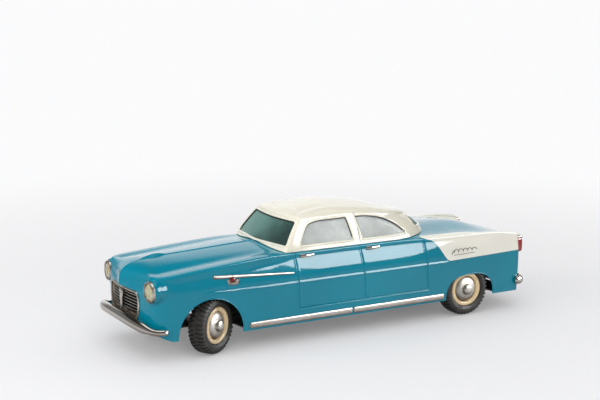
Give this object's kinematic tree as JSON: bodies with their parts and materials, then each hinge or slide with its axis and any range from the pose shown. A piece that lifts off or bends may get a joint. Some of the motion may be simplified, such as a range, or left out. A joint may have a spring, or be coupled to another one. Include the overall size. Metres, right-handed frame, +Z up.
{
  "type": "friction tin car",
  "caption": "Tin saloon car driven by a friction flywheel motor, with two-tone enamel, plated trim and a front axle that steers.",
  "frame": {"origin": "on the ground, at the middle of the car's footprint", "axes": "+Z up, the front of the car faces -Y, and the car's left side is +X"},
  "size_m": [0.0926, 0.306, 0.0874],
  "materials": {
    "teal_enamel": "glossy teal enamel on tin",
    "ivory_enamel": "glossy ivory enamel on tin",
    "ring_enamel": "yellow-cream enamel wheel ring on a steel disc",
    "nickel_plate": "warm, slightly dulled nickel plate",
    "bare_steel": "plain steel",
    "tinplate": "unpainted tinplate",
    "gear_brass": "cut brass",
    "flywheel_lead": "dull grey cast flywheel; the real one is lead or iron",
    "tyre_rubber": "black-brown moulded rubber",
    "lamp_red": "dark red gloss",
    "headlight_lens": "cream moulded lens",
    "celluloid": "clear, faintly green celluloid sheet"
  },
  "bodies": {
    "root": {"body_shell": "teal_enamel", "roof_shell": "ivory_enamel", "windscreen": "celluloid", "rear_window": "celluloid", "side_window_left": "celluloid", "side_window_right": "celluloid", "base_plate": "tinplate", "wing_spear_left": "nickel_plate", "wing_spear_right": "nickel_plate", "sill_front_trim_left": "nickel_plate", "sill_front_trim_right": "nickel_plate", "sill_rear_trim_left": "nickel_plate", "sill_rear_trim_right": "nickel_plate", "indicator_plate_left": "nickel_plate", "indicator_plate_right": "nickel_plate", "front_handle_left": "nickel_plate", "front_handle_right": "nickel_plate", "rear_handle_left": "nickel_plate", "rear_handle_right": "nickel_plate", "headlight_bezel_left": "nickel_plate", "headlight_bezel_right": "nickel_plate", "grille_surround": "nickel_plate", "grille_bars": "nickel_plate", "front_bumper": "nickel_plate", "rear_bumper": "nickel_plate", "indicator_button_left": "lamp_red", "indicator_button_right": "lamp_red", "tail_lamp_left": "lamp_red", "tail_lamp_right": "lamp_red", "headlight_lens_left": "headlight_lens", "headlight_lens_right": "headlight_lens", "front_axle_beam": "bare_steel", "motor_spacer_front": "bare_steel", "motor_spacer_rear": "bare_steel", "kingpin_left": "bare_steel", "kingpin_right": "bare_steel", "motor_plate_left": "bare_steel", "motor_plate_right": "bare_steel"},
    "rear_axle": {"rear_axle": "bare_steel", "drive_gear": "gear_brass", "rear_tyre_left": "tyre_rubber", "rear_tyre_right": "tyre_rubber", "rear_wheel_disc_left": "ring_enamel", "rear_wheel_disc_right": "ring_enamel", "rear_hub_cap_left": "nickel_plate", "rear_hub_cap_right": "nickel_plate"},
    "intermediate_gear": {"intermediate_gear": "gear_brass"},
    "flywheel": {"flywheel": "flywheel_lead"},
    "knuckle_left": {"knuckle_left": "bare_steel"},
    "knuckle_right": {"knuckle_right": "bare_steel"},
    "front_wheel_left": {"front_tyre_left": "tyre_rubber", "front_wheel_disc_left": "ring_enamel", "front_hub_cap_left": "nickel_plate"},
    "front_wheel_right": {"front_tyre_right": "tyre_rubber", "front_wheel_disc_right": "ring_enamel", "front_hub_cap_right": "nickel_plate"},
    "tie_rod": {"tie_rod": "bare_steel"}
  },
  "joints": [
    {"name": "rear_axle_spin", "type": "hinge", "parent": "root", "child": "rear_axle", "pos_m": [0, 0.10185, 0.019], "axis": [1, 0, 0], "continuous": true},
    {"name": "intermediate_spin", "type": "hinge", "parent": "root", "child": "intermediate_gear", "pos_m": [0, 0.08562, 0.02335], "axis": [1, 0, 0], "continuous": true},
    {"name": "flywheel_spin", "type": "hinge", "parent": "root", "child": "flywheel", "pos_m": [0, 0.06939, 0.0277], "axis": [1, 0, 0], "continuous": true},
    {"name": "steer_left", "type": "hinge", "parent": "root", "child": "knuckle_left", "pos_m": [0.0278, -0.10045, 0.019], "axis": [0, 0, 1], "range_deg": [-54, 0.8]},
    {"name": "steer_right", "type": "hinge", "parent": "root", "child": "knuckle_right", "pos_m": [-0.0278, -0.10045, 0.019], "axis": [0, 0, 1], "range_deg": [-54.1, 0.9]},
    {"name": "front_left_spin", "type": "hinge", "parent": "knuckle_left", "child": "front_wheel_left", "pos_m": [0.0278, -0.10045, 0.019], "axis": [0.8738, 0.4863, 0], "continuous": true},
    {"name": "front_right_spin", "type": "hinge", "parent": "knuckle_right", "child": "front_wheel_right", "pos_m": [-0.0278, -0.10045, 0.019], "axis": [0.8738, 0.4863, 0], "continuous": true},
    {"name": "tie_rod_swing", "type": "hinge", "parent": "knuckle_left", "child": "tie_rod", "pos_m": [0.02391, -0.09346, 0.0227], "axis": [0, 0, 1], "range_deg": [-0.9, 54.1]}
  ],
  "couplings": [
    {"joint": "intermediate_spin", "follows": "rear_axle_spin", "ratio": -3},
    {"joint": "flywheel_spin", "follows": "rear_axle_spin", "ratio": 9},
    {"joint": "steer_right", "follows": "steer_left", "ratio": 1},
    {"joint": "tie_rod_swing", "follows": "steer_left", "ratio": -1}
  ]
}
